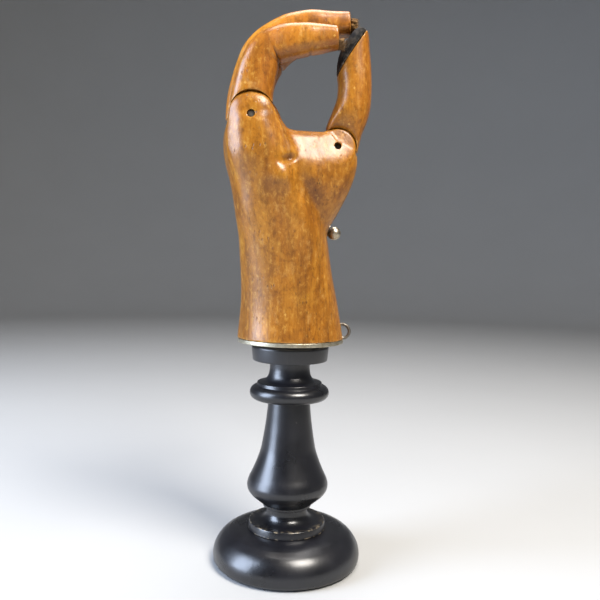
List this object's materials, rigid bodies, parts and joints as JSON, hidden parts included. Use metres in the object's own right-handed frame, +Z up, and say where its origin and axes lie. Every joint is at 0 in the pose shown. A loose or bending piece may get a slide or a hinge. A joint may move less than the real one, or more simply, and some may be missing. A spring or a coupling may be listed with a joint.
{
  "type": "articulated wooden hand on a stand",
  "caption": "Carved wooden left hand with hinged fingers and a padded, hinged thumb closed in a pinch, standing on a turned black stand.",
  "frame": {"origin": "centre of the felt disc under the stand, at the level of the table", "axes": "+Z up along the stand, +X to the palm side, -Y to the thumb side"},
  "size_m": [0.0808, 0.0808, 0.2964],
  "materials": {
    "fruitwood": "worn varnish, satin",
    "ebonised": "black stain and wax, satin",
    "steel": "dull, slightly tarnished",
    "aluminium": "rolled plate, lightly scratched",
    "brass": "nickel plating worn through to brass",
    "felt": "matted wool, frayed at the edges",
    "rubber": "aged, matt, cracked at the top edge",
    "leather": "oiled, smooth"
  },
  "bodies": {
    "stand": {"base_felt": "felt", "foot": "ebonised", "foot_screw": "steel", "foot_washer": "steel", "column": "ebonised", "collar": "ebonised", "spigot": "steel", "spigot_nut": "steel", "nut_washer": "steel", "swivel_washer": "leather"},
    "hand": {"palm": "fruitwood", "wrist_plate": "aluminium", "wrist_screw_1": "steel", "wrist_screw_2": "steel", "wrist_screw_3": "steel", "wrist_screw_4": "steel", "knuckle_pin": "steel", "thumb_pin": "steel", "brake_pin": "steel", "brake_spring": "steel", "knob_bush": "brass", "wire_eye": "steel"},
    "index": {"finger_index": "fruitwood", "index_tip_felt": "felt"},
    "middle": {"finger_middle": "fruitwood", "middle_tip_felt": "felt"},
    "ring": {"finger_ring": "fruitwood"},
    "little": {"finger_little": "fruitwood"},
    "thumb": {"thumb": "fruitwood", "thumb_pad": "rubber"},
    "brake": {"brake_rocker": "steel", "brake_shoe": "leather"},
    "knob": {"release_knob": "brass"}
  },
  "joints": [
    {"name": "wrist_swivel", "type": "hinge", "parent": "stand", "child": "hand", "pos_m": [0, 0, 0.122], "axis": [0, 0, 1], "continuous": true},
    {"name": "index_hinge", "type": "hinge", "parent": "hand", "child": "index", "pos_m": [-0.0207, -0.0288, 0.2363], "axis": [0, 1, 0], "range_deg": [-15, 0]},
    {"name": "middle_hinge", "type": "hinge", "parent": "hand", "child": "middle", "pos_m": [-0.0207, -0.0097, 0.2363], "axis": [0, 1, 0], "range_deg": [-15, 0]},
    {"name": "ring_hinge", "type": "hinge", "parent": "hand", "child": "ring", "pos_m": [-0.0207, 0.0094, 0.2363], "axis": [0, 1, 0], "range_deg": [-15, 0]},
    {"name": "little_hinge", "type": "hinge", "parent": "hand", "child": "little", "pos_m": [-0.0207, 0.0272, 0.2363], "axis": [0, 1, 0], "range_deg": [-15, 0]},
    {"name": "thumb_hinge", "type": "hinge", "parent": "hand", "child": "thumb", "pos_m": [0.0222, -0.0155, 0.224], "axis": [0, 1, 0], "range_deg": [0, 8]},
    {"name": "knob_press", "type": "slide", "parent": "hand", "child": "knob", "axis": [-1, 0, 0], "range_m": [0, 0.0025], "stiffness_N_per_m": 300, "springref_m": -0.002},
    {"name": "brake_hinge", "type": "hinge", "parent": "hand", "child": "brake", "pos_m": [0.001, 0, 0.2], "axis": [0, 1, 0], "range_deg": [0, 7.7]}
  ],
  "couplings": [
    {"joint": "brake_hinge", "follows": "knob_press", "rad_per_m": 53.2}
  ]
}
